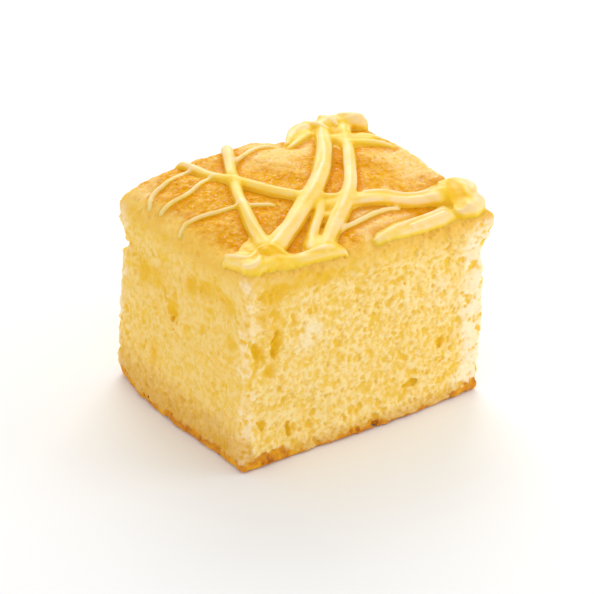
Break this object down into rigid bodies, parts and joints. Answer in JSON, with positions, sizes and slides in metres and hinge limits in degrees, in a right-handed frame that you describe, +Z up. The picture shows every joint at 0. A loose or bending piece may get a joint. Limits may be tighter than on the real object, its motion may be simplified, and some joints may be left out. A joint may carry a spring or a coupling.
{
  "type": "lemon cake",
  "caption": "Square-cut piece of lemon tray cake with an open yellow crumb, a thin browned base, a domed golden top and a thick criss-cross drizzle of pale lemon icing.",
  "frame": {"origin": "middle of the object's box at the height of its flat base", "axes": "+X along the wide cut face, +Y from the wide cut face seen in the picture to the back, +Z up through the domed top"},
  "size_m": [0.0692, 0.054, 0.0527],
  "materials": {
    "sponge": "soft open crumb, pale lemon yellow, dull, with fine irregular pores",
    "crust": "baked golden skin, dull with a slight sheen, paler on its swellings",
    "icing": "thick set lemon icing, smooth, semi-gloss, slightly translucent"
  },
  "bodies": {
    "root": {"lemon_cake": "sponge"}
  },
  "joints": []
}
